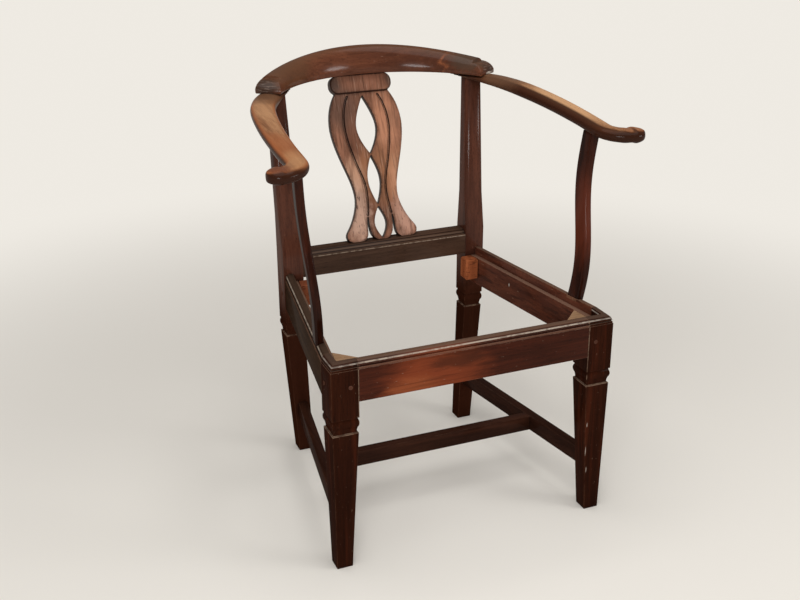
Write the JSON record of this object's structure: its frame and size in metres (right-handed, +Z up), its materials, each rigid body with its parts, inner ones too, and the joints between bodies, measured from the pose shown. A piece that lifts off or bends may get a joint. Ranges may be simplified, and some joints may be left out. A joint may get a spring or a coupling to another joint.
{
  "type": "tub armchair frame",
  "caption": "Bow-backed wooden elbow chair with curved arms ending in out-turned hooks, a pierced splat, tapered square legs and an open rebated seat frame.",
  "frame": {"origin": "on the floor, under the middle of the chair's overall box", "axes": "+Z up, the open front of the chair faces -Y, +X is the right arm as seen from the front"},
  "size_m": [0.7404, 0.6364, 0.87],
  "materials": {
    "leg_wood": "dark polished mahogany, worn at the arrises",
    "rail_wood": "red-brown polished mahogany, faded in the middle",
    "post_wood": "dark red-brown polished mahogany",
    "crest_wood": "brown waxed mahogany with soft highlights",
    "arm_wood": "worn honey-brown mahogany, darker underneath",
    "support_wood": "dark red-brown polished mahogany",
    "splat_wood": "reddish-brown carved mahogany, scuffed at the feet",
    "stretcher_wood": "dark dull polished mahogany",
    "block_wood": "bare unpolished secondary wood",
    "peg_wood": "end grain under old polish"
  },
  "bodies": {
    "root": {"arm_left": "arm_wood", "arm_right": "arm_wood", "arm_support_left": "support_wood", "arm_support_right": "support_wood", "back_post_left": "post_wood", "back_post_right": "post_wood", "back_rail": "rail_wood", "crest_rail": "crest_wood", "cross_stretcher": "stretcher_wood", "front_corner_block_left": "block_wood", "front_corner_block_right": "block_wood", "front_leg_left": "leg_wood", "front_leg_right": "leg_wood", "front_rail_pegs": "peg_wood", "front_seat_rail": "rail_wood", "rear_seat_block_left": "block_wood", "rear_seat_block_right": "block_wood", "side_rail_pegs": "peg_wood", "side_seat_rail_left": "rail_wood", "side_seat_rail_right": "rail_wood", "side_stretcher_left": "stretcher_wood", "side_stretcher_right": "stretcher_wood", "splat": "splat_wood"}
  },
  "joints": []
}
